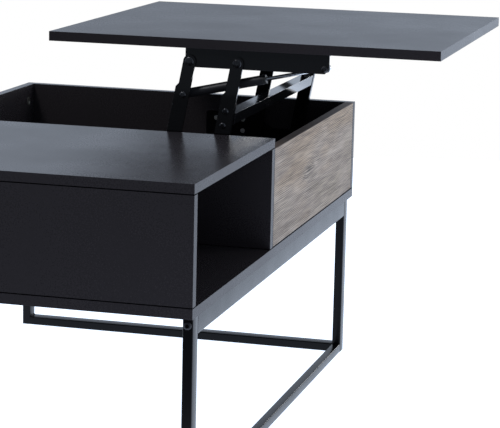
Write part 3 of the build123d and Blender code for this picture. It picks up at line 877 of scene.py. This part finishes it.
@dataclass
class CrossHead:
    """A group of screws or bolts of one kind, with a driven head.

    Attributes:
        node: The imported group.
        finish: Their finish.
        countersunk: Whether their heads lie flush.
        drive: The recess in the head.
        flat: Share of the head's radius that is flat on top of a domed head.
        crown: Share of the head's height that its dome takes up.
    """

    node: str
    finish: Finish
    countersunk: bool = False
    drive: Recess = Recess.CROSS
    flat: float = 0.45
    crown: float = 0.75

    def profile(self, seat: Seat) -> list[tuple[float, float]]:
        """Returns the fastener's turned profile, from its tip to the middle of its head's face."""
        tip = -seat.length
        shank, head = seat.shank_radius, seat.head_radius
        stem = [(0, tip), (0.4 * shank, tip), (shank, tip + 1.6 * shank)]
        if self.countersunk:
            return stem + [(shank, shank - head), (head, -0.25 * MM), (head, 0), (0, 0)]
        under = -seat.head_height
        stem += [(shank, under), (0.96 * head, under)]
        for i in range(CURVE_STEPS + 1):
            angle = math.pi / 2 * i / CURVE_STEPS
            radius = head * (self.flat + (1 - self.flat) * math.cos(angle))
            stem.append((radius, under * self.crown * (1 - math.sin(angle))))
        return stem + [(0, 0)]

    def build(self) -> None:
        """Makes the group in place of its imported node."""
        seats = [seat_of(points, long_axis(points)) for points in solids_of(self.node)]
        shortest = min(seats, key=lambda seat: round(seat.length, 5))
        blank = lathe(self.profile(shortest), f"{self.node}_blank")
        deep = -1.15 * max(shortest.head_height, 1.2 * MM)
        blank = cut(blank, prism(self.drive.outline(shortest.head_radius), deep, MM, 0.75))
        mesh = copies(blank, [seat.matrix(i) for i, seat in enumerate(seats)], f"{self.node}_made")
        show(smooth(mesh), f"{self.node}_made", self.finish, self.node)


@dataclass
class Rivets:
    """A group of rivets or pins with domed heads that have a small punch mark in their middle.

    Attributes:
        node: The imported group.
        finish: Their finish.
        punch: Radius of the punch mark.
        dent: Depth of the punch mark.
        swell: How much wider than the shank a head is at least, as a share.
    """

    node: str
    finish: Finish
    punch: float = 1.3
    dent: float = 0.25
    swell: float = 1.05

    def dome(self, head: float, height: float) -> list[tuple[float, float]]:
        """Returns a head's points from its middle to its rim, as (radius, depth) in metres."""
        punch = self.punch * MM
        points = [(0.0, self.dent * MM), (punch, 0.0)]
        for i in range(1, CURVE_STEPS + 1):
            angle = math.pi / 2 * i / CURVE_STEPS
            points.append((punch + (head - punch) * math.sin(angle), height * 0.8 * (1 - math.cos(angle))))
        return points + [(head, height)]

    def rivet(self, points: Sequence[Vector]) -> Mesh:
        """Returns one rivet's mesh, made to the measure of its packed points."""
        low, high = extent(points)
        middle = (low + high) / 2
        stations = sorted({round(p.x, 6) for p in points})
        reach = [(p.x, math.hypot(p.y - middle.y, p.z - middle.z)) for p in points]
        widest = {x: max(radius for at, radius in reach if abs(at - x) < 10 * SAME_POINT) for x in stations}
        shank, length = min(widest.values()), high.x - low.x
        lower, upper = (
            self.dome(widest[end], abs(inner - end) if widest[end] > shank * self.swell else 0.3 * MM)
            for end, inner in ((stations[0], stations[1]), (stations[-1], stations[-2]))
        )
        profile = lower + [(shank, lower[-1][1]), (shank, length - upper[-1][1])]
        profile += [(radius, length - depth) for radius, depth in reversed(upper)]
        mesh = lathe(profile, "rivet", 32)
        upright = Matrix.Translation((low.x, middle.y, middle.z)) @ Matrix.Rotation(math.pi / 2, 4, "Y")
        mesh.transform(upright)
        return mesh

    def build(self) -> None:
        """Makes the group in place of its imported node."""
        mesh = joined([self.rivet(points) for points in solids_of(self.node)], f"{self.node}_made")
        show(smooth(mesh), f"{self.node}_made", self.finish, self.node)


# ---- Steel frame ----
class Face(Enum):
    """The outer face of a tube in an end loop, as an axis and a sign. SQUARE is a tube with square ends."""

    FRONT = (1, -1)
    BACK = (1, 1)
    FLOOR = (2, -1)
    SQUARE = (0, 0)


@dataclass
class DrawnTube:
    """A rectangular steel tube with rounded long edges, cut square, mitred at its low end or at both ends.

    Attributes:
        node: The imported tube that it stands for.
        outer: Its outer face in the loop.
        upright: Whether it is a leg, whose top is cut square.
        corner: Radius of the long edges.
        steps: Steps round each edge.
    """

    node: str
    outer: Face
    upright: bool = False
    corner: float = 1.8
    steps: int = 4

    def section(self, low: tuple[float, float], high: tuple[float, float]) -> list[tuple[float, float]]:
        """Returns the tube's rounded outline between two corners."""
        radius = self.corner * MM
        outline = []
        corners = ((high[0], high[1]), (low[0], high[1]), (low[0], low[1]), (high[0], low[1]))
        for i, (x, y) in enumerate(corners):
            x += radius if x == low[0] else -radius
            y += radius if y == low[1] else -radius
            for k in range(self.steps + 1):
                angle = math.pi / 2 * (i + k / self.steps)
                outline.append((x + radius * math.cos(angle), y + radius * math.sin(angle)))
        return outline

    def build(self) -> None:
        """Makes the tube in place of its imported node."""
        low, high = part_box(self.node)
        sizes = list(high - low)
        run = sizes.index(max(sizes))
        first, second = (i for i in range(3) if i != run)
        outline = self.section((low[first], low[second]), (high[first], high[second]))
        mitre_axis, sign = self.outer.value
        rows = []
        for end, inward in ((low[run], 1), (high[run], -1)):
            row = []
            for u, v in outline:
                point = [end, end, end]
                point[first], point[second] = u, v
                if sign and not (self.upright and inward < 0):
                    outside = high[mitre_axis] if sign > 0 else low[mitre_axis]
                    point[run] += inward * abs(point[mitre_axis] - outside)
                row.append(point)
            rows.append(row)
        name = f"{self.node}_tube"
        show(smooth(loft(rows, name), 30.0), name, POWDER, self.node)


@dataclass
class WeldBead:
    """A fillet weld across the inside of a loop's mitre, under the powder.

    Attributes:
        leg: Length of the fillet's legs.
        pitch: Distance between two ripples.
        ripple: How much the legs grow at each ripple.
        hollow: How far its face is scooped out, as a share of the leg.
    """

    leg: float = 2.6
    pitch: float = 1.7
    ripple: float = 0.22
    hollow: float = 0.78

    def mesh(self, x: tuple[float, float], corner: tuple[float, float], ways: tuple[int, int]) -> Mesh:
        """Returns the bead's mesh.

        Args:
            x: Where the bead starts and ends along X, in metres.
            corner: The inside corner's (y, z).
            ways: Which way the two legs run along Y and Z.
        """
        length = x[1] - x[0]
        ripples = length / (self.pitch * MM)
        stations = max(8, round(ripples * 4))
        steps = 5
        rows = []
        for i in range(stations + 1):
            share = i / stations
            leg = (self.leg + self.ripple * math.sin(math.tau * share * ripples)) * MM
            leg *= min(1.0, 0.35 + 8 * min(share, 1 - share))
            section = [(0.0, 0.0)]
            for k in range(steps + 1):
                angle = math.pi / 2 * k / steps
                section.append((leg * (1 - math.sin(angle) * self.hollow) if k < steps else 0.0,
                                leg * (1 - math.cos(angle) * self.hollow) if k else 0.0))
            along = x[0] + share * length
            rows.append([(along, corner[0] + ways[0] * y, corner[1] + ways[1] * z) for y, z in section])
        return loft(rows, "bead")


@dataclass
class SteelFrame:
    """The two end loops, the rails between them, their welds and bolts.

    Attributes:
        ends: The two loops' names.
        bead_side: How far a bead stays inside each side of its tube.
    """

    ends: tuple[str, ...] = ("near", "far")
    bead_side: float = 1.5

    def build(self) -> None:
        """Makes every tube, weld, bolt and screw of the frame."""
        for end in self.ends:
            DrawnTube(f"{end}_front_leg", Face.FRONT, upright=True).build()
            DrawnTube(f"{end}_back_leg", Face.BACK, upright=True).build()
            DrawnTube(f"{end}_floor_rail", Face.FLOOR).build()
            self.welds(end)
        for rail in ("front_top_rail", "back_top_rail", "front_floor_rail"):
            DrawnTube(rail, Face.SQUARE).build()
        dress_node("rail_end_plates", ZINC_PLATE, 0.2)
        CrossHead("rail_screws", BLACK_OXIDE).build()
        CrossHead("leg_bolts", ENAMEL, drive=Recess.HEX, flat=0.5).build()

    def welds(self, end: str) -> None:
        """Makes the fillets inside the two corners of one end loop."""
        front_low, front_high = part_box(f"{end}_front_leg")
        back_low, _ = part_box(f"{end}_back_leg")
        floor_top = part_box(f"{end}_floor_rail")[1].z
        span = (front_low.x + self.bead_side * MM, front_high.x - self.bead_side * MM)
        corners = ((front_high.y, 1), (back_low.y, -1))
        beads = [WeldBead().mesh(span, (y, floor_top), (way, 1)) for y, way in corners]
        name = f"{end}_loop_welds"
        show(smooth(joined(beads, name), 50.0), name, POWDER, with_node=f"{end}_floor_rail")


# ---- Lift mechanism ----
@dataclass
class LiftMechanism:
    """The pressed arms and brackets at both sides, their rivets, the cross bar and the two gas struts.

    Attributes:
        sheared: Width of the broken edge of sheared and tumbled sheet.
        folded: Width of the round at a fold.
        sides: The two sides' names.
    """

    sheared: float = 0.45
    folded: float = 0.9
    sides: tuple[str, ...] = ("near", "far")

    def build(self) -> None:
        """Dresses the pressed parts and makes the rivets and screws."""
        for side in self.sides:
            for part in ("base_bracket", "rear_arm", "front_arm", "upper_bracket"):
                dress_node(f"{side}_{part}", LACQUER, self.sheared)
            GasStrut(side).build()
        dress_node("cross_bar", LACQUER, self.folded, bends=4)
        dress_node("base_spacers", NYLON, 0.4)
        dress_node("stop_pins", BLACK_OXIDE, 0.5)
        dress_node("cross_bar_nuts", ZINC_PLATE, 0.4)
        for group in ("base_rivets", "top_rivets", "strut_rivets", "strut_lower_pins"):
            Rivets(group, BLACK_OXIDE).build()
        CrossHead("wall_screws", ZINC_PLATE, countersunk=True).build()
        CrossHead("cross_bar_screws", BLACK_OXIDE).build()
        CrossHead("upper_bracket_screws", ZINC_PLATE).build()


@dataclass
class GasStrut:
    """One gas strut: the enamelled tube, its guide, the chromed rod and the pin in its upper eye."""

    side: str

    def build(self) -> None:
        """Dresses the strut's pieces."""
        dress_node(f"{self.side}_strut_cylinder", ENAMEL, 0.3)
        dress_node(f"{self.side}_strut_cap", NYLON, 0.3)
        dress_node(f"{self.side}_strut_rod", HARD_CHROME, 0.3)
        Rivets(f"{self.side}_strut_upper_pin", BLACK_OXIDE, punch=0.9).build()


@dataclass
class LiftTop:
    """The half top that swings up and forward.

    Attributes:
        arris: Width of the broken edge of its banding.
    """

    arris: float = 0.5

    def build(self) -> None:
        """Dresses the panel."""
        dress_node("lift_top_panel", LAMINATE, self.arris)


# ---- Studio ----
@dataclass(frozen=True)
class DarkSide:
    """A part of the surround that gives little light.

    Attributes:
        way: The direction of its middle.
        start: Cosine of the angle from its middle where the surround begins to darken.
        full: Cosine of the angle where it is fully dark.
        level: Its strength.
    """

    way: tuple[float, float, float]
    start: float
    full: float
    level: float


@dataclass(frozen=True)
class Lamp:
    """One soft square lamp.

    Attributes:
        name: Its name.
        place: Where it stands, in metres.
        target: The point that it faces.
        size: Its side, in metres.
        watts: Its power.
    """

    name: str
    place: tuple[float, float, float]
    target: tuple[float, float, float]
    size: float
    watts: float

    def build(self) -> None:
        """Adds the lamp."""
        light = bpy.data.lights.new(self.name, "AREA")
        light.size = self.size
        light.energy = self.watts
        lamp = placed(self.name, light)
        lamp.location = self.place
        lamp.rotation_euler = (Vector(self.target) - Vector(self.place)).to_track_quat("-Z", "Y").to_euler()


@dataclass
class Studio:
    """A pale floor, a bright surround with two dark sides, three lamps, and the camera at the near end.

    Attributes:
        station: The camera's place, in metres in the frame.
        heading: Its heading, in degrees from +X towards +Y.
        pitch: How far it looks down.
        roll: How far it leans.
        lens: Focal length on a 36 mm sensor.
        floor_centre: Middle of the floor sheet, in metres.
        floor_radius: Its radius, in metres.
        floor_glow: Strength of its own light.
        bright: Colour of the surround's light and of the floor's.
        horizon_level: Strength of the surround's light at the horizon.
        zenith_level: Its strength overhead.
        zenith_rise: Height of a direction from which it is as weak as overhead.
        dark_sides: The sides that give little light.
        lamps: The lamps.
    """

    station: tuple[float, float, float] = (-3.1996, -0.8163, 0.9778)
    heading: float = 15.056
    pitch: float = -10.973
    roll: float = 1.286
    lens: float = 152.65
    floor_centre: tuple[float, float] = (0.9, -0.2)
    floor_radius: float = 1.8
    floor_glow: float = 1.5
    bright: str = "#dfecff"
    horizon_level: float = 1.42
    zenith_level: float = 0.55
    zenith_rise: float = 0.45
    dark_sides: tuple[DarkSide, ...] = (
        DarkSide((-0.97, 0.22, -0.12), 0.15, 0.75, 0.18), DarkSide((0.928, 0.30, -0.22), 0.92, 0.972, 0.05),
    )
    lamps: tuple[Lamp, ...] = (
        Lamp("key_lamp", (1.6, -3.4, 1.6), (0.1, 0.2, 0.35), 2.2, 30.0),
        Lamp("high_lamp", (-1.05, 1.1, 2.0), (0.0, 0.15, 0.5), 0.4, 12.0),
        Lamp("rim_lamp", (2.9, -0.62, 0.75), (0.1, 0.1, 0.5), 0.4, 6.0),
    )

    def build(self) -> None:
        """Makes the camera, the surround, the floor and the lamps."""
        self.camera()
        self.surround()
        self.floor()
        for lamp in self.lamps:
            lamp.build()
        bpy.context.scene.view_settings.view_transform = "Standard"

    def camera(self) -> None:
        """Places the camera from its heading, pitch and roll."""
        heading, pitch, roll = (math.radians(a) for a in (self.heading, self.pitch, self.roll))
        level_ahead = math.cos(pitch)
        ahead = Vector((level_ahead * math.cos(heading), level_ahead * math.sin(heading), math.sin(pitch)))
        level = Vector((math.sin(heading), -math.cos(heading), 0.0))
        over = level.cross(ahead)
        right = level * math.cos(roll) + over * math.sin(roll)
        up = over * math.cos(roll) - level * math.sin(roll)
        lens = bpy.data.cameras.new("camera")
        lens.lens = self.lens
        lens.sensor_width = 36.0
        camera = placed("camera", lens)
        turn = Matrix((right, up, -ahead)).transposed().to_4x4()
        camera.matrix_world = Matrix.Translation(self.station) @ turn
        bpy.context.scene.camera = camera

    def surround(self) -> None:
        """Makes the surround: white where it is seen, and as light darker overhead and at two sides."""
        world = bpy.data.worlds.new("studio_surround")
        bpy.context.scene.world = world
        world.use_nodes = True
        tree = world.node_tree
        tree.nodes.clear()
        way = add(tree, "ShaderNodeTexCoord").outputs["Generated"]
        rise = add(tree, "ShaderNodeSeparateXYZ", {"Vector": way}).outputs["Z"]
        level = add(tree, "ShaderNodeMapRange", {
            "Value": rise, "From Min": 0.0, "From Max": self.zenith_rise,
            "To Min": self.horizon_level, "To Max": self.zenith_level,
        })
        for side in self.dark_sides:
            towards = add(tree, "ShaderNodeVectorMath", {0: way, 1: side.way}, operation="DOT_PRODUCT")
            share = add(tree, "ShaderNodeMapRange", {
                "Value": towards.outputs["Value"], "From Min": side.start, "From Max": side.full,
            }, interpolation_type="SMOOTHSTEP")
            level = add(tree, "ShaderNodeMix", {"Factor": share, "A": level, "B": side.level})
        lit = add(tree, "ShaderNodeBackground", {"Color": linear(self.bright), "Strength": level})
        seen = add(tree, "ShaderNodeBackground", {"Color": linear("#ffffff"), "Strength": 1.0})
        direct = add(tree, "ShaderNodeLightPath").outputs["Is Camera Ray"]
        both = add(tree, "ShaderNodeMixShader", {"Fac": direct, 1: lit, 2: seen})
        add(tree, "ShaderNodeOutputWorld", {"Surface": both})

    def floor(self) -> None:
        """Makes the pale floor."""
        x, y = self.floor_centre
        corners = 96
        turns = [math.tau * i / corners for i in range(corners)]
        radius = self.floor_radius
        edge = [(x + radius * math.cos(a), y + radius * math.sin(a), 0.0) for a in turns]
        mesh = bpy.data.meshes.new("floor")
        mesh.from_pydata(edge, [], [tuple(range(corners))])
        floor = placed("floor", mesh)
        # Back-lit acrylic floor sheet: an even white glow with only the faintest shadow on it.
        made = Coating("back_lit_white_acrylic", "#9c9fa4", 0.9, ior=1.3, skin=40.0, depth=0.1).material()
        shader = next(n for n in made.node_tree.nodes if n.type == "BSDF_PRINCIPLED")
        shader.inputs["Emission Color"].default_value = linear(self.bright)
        shader.inputs["Emission Strength"].default_value = self.floor_glow
        mesh.materials.append(made)


def main() -> None:
    """Builds every sub-assembly in order, then the studio."""
    logging.basicConfig(level=logging.INFO, format="%(name)s: %(message)s")
    for assembly in (Carcass(), SteelFrame(), LiftMechanism(), LiftTop(), Studio()):
        LOG.info("building %s", type(assembly).__name__)
        assembly.build()


if __name__ == "__main__":
    main()
